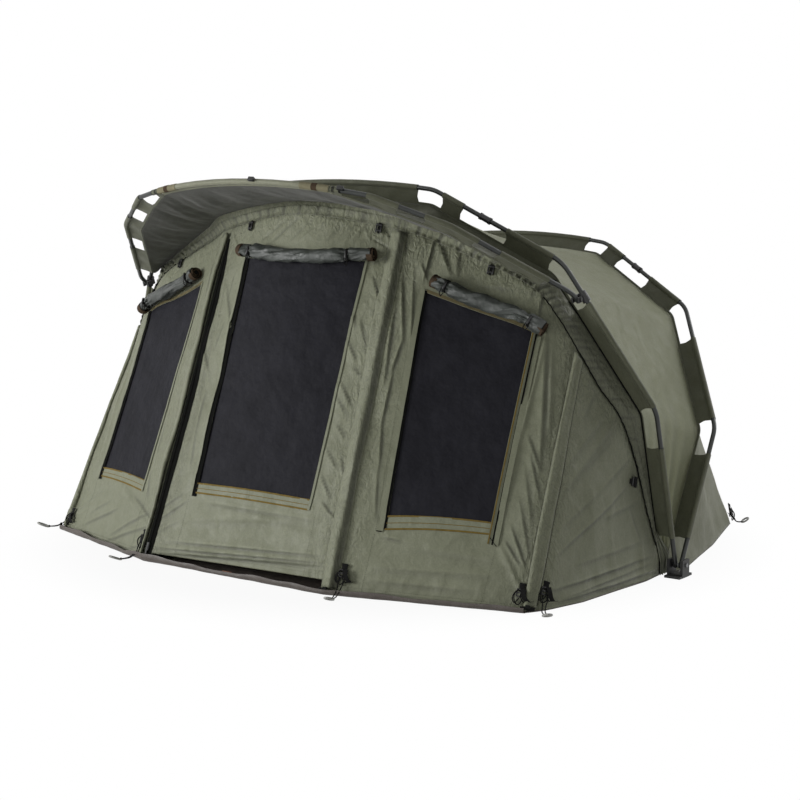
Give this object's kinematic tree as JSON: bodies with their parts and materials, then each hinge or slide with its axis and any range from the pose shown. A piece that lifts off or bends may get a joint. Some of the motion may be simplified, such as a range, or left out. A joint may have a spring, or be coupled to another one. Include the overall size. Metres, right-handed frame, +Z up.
{
  "type": "bivvy tent",
  "caption": "Fishing bivvy tent: bent-tube ribs on hinge blocks carry a webbed olive shell with a zipped front wall, net windows, rolled covers and a projecting peak.",
  "frame": {"origin": "on the ground under the groundsheet, midway between the two hinge blocks", "axes": "+Z up, the door faces -Y, +X to the right of someone inside looking back at the rear wall"},
  "size_m": [2.9898, 2.643, 1.6062],
  "materials": {
    "tube": "satin dark coated aluminium tube",
    "nylon": "matt black moulded nylon",
    "steel": "plain zinc-plated steel",
    "shell_cloth": "light olive coated polyester, fine weave",
    "web_cloth": "dark olive coated polyester",
    "hood_cloth": "charcoal coated polyester",
    "net": "fine black mosquito net",
    "roll_cloth": "dark grey-green coated polyester, slight sheen",
    "zip": "black nylon coil on woven tape",
    "webbing": "woven grey webbing",
    "sheet": "grey-brown heavy coated groundsheet"
  },
  "bodies": {
    "shell": {"arch_flap": "shell_cloth", "back_wall": "shell_cloth", "cover_roll_door": "roll_cloth", "cover_roll_left": "roll_cloth", "cover_roll_right": "roll_cloth", "door_mesh": "net", "door_panel": "shell_cloth", "door_zip_left": "zip", "door_zip_right": "zip", "front_wing_left": "shell_cloth", "front_wing_right": "shell_cloth", "groundsheet": "sheet", "hinge_block_left": "nylon", "hinge_block_right": "nylon", "hinge_bolt_left": "steel", "hinge_bolt_right": "steel", "knuckle_bolt_left": "steel", "knuckle_bolt_right": "steel", "main_fin_left": "web_cloth", "main_fin_right": "web_cloth", "main_fin_top": "web_cloth", "main_rib_left": "tube", "main_rib_right": "tube", "main_rib_top": "tube", "peak_hood": "hood_cloth", "peak_knuckle_left": "nylon", "peak_knuckle_right": "nylon", "peg_strap_back_left": "webbing", "peg_strap_back_right": "webbing", "peg_strap_corner_left": "webbing", "peg_strap_corner_right": "webbing", "peg_strap_door_left": "webbing", "peg_strap_door_right": "webbing", "roof_front": "shell_cloth", "roof_panel": "shell_cloth", "seam_band_left": "shell_cloth", "seam_band_right": "shell_cloth", "storm_flap_left": "shell_cloth", "storm_flap_right": "shell_cloth", "window_mesh_left": "net", "window_mesh_right": "net", "window_panel_left": "shell_cloth", "window_panel_right": "shell_cloth"},
    "rear_rib": {"rear_fin_left": "web_cloth", "rear_fin_right": "web_cloth", "rear_fin_top": "web_cloth", "rear_rib_left": "tube", "rear_rib_right": "tube", "rear_rib_top": "tube"},
    "peak_rib": {"peak_rib": "tube", "peak_fin_left": "web_cloth", "peak_fin_right": "web_cloth", "peak_sleeve": "shell_cloth"},
    "main_lock_left": {"main_lock_left": "nylon"},
    "main_lock_right": {"main_lock_right": "nylon"},
    "rear_lock_left": {"rear_lock_left": "nylon"},
    "rear_lock_right": {"rear_lock_right": "nylon"},
    "zip_slider_left": {"zip_slider_left": "steel"},
    "zip_slider_right": {"zip_slider_right": "steel"}
  },
  "joints": [
    {"name": "rear_rib_fold", "type": "hinge", "parent": "shell", "child": "rear_rib", "pos_m": [0, 0, 0.05], "axis": [1, 0, 0], "range_deg": [0, 45], "deforming": ["roof_panel", "back_wall"]},
    {"name": "peak_rib_fold", "type": "hinge", "parent": "shell", "child": "peak_rib", "pos_m": [0, -0.37176, 1.12924], "axis": [-1, 0, 0], "range_deg": [0, 32], "deforming": ["peak_hood"]},
    {"name": "main_lock_left_slide", "type": "slide", "parent": "shell", "child": "main_lock_left", "axis": [0.8804, -0.141, 0.4528], "range_m": [0, 0.045]},
    {"name": "main_lock_right_slide", "type": "slide", "parent": "shell", "child": "main_lock_right", "axis": [-0.8804, -0.141, 0.4528], "range_m": [0, 0.045]},
    {"name": "rear_lock_left_slide", "type": "slide", "parent": "rear_rib", "child": "rear_lock_left", "axis": [0.8355, 0.3269, 0.4417], "range_m": [0, 0.045]},
    {"name": "rear_lock_right_slide", "type": "slide", "parent": "rear_rib", "child": "rear_lock_right", "axis": [-0.8355, 0.3269, 0.4417], "range_m": [0, 0.045]},
    {"name": "zip_slider_left_slide", "type": "slide", "parent": "shell", "child": "zip_slider_left", "axis": [0.0288, 0.3498, 0.9364], "range_m": [0, 1.365]},
    {"name": "zip_slider_right_slide", "type": "slide", "parent": "shell", "child": "zip_slider_right", "axis": [-0.0288, 0.3498, 0.9364], "range_m": [0, 1.365]}
  ]
}
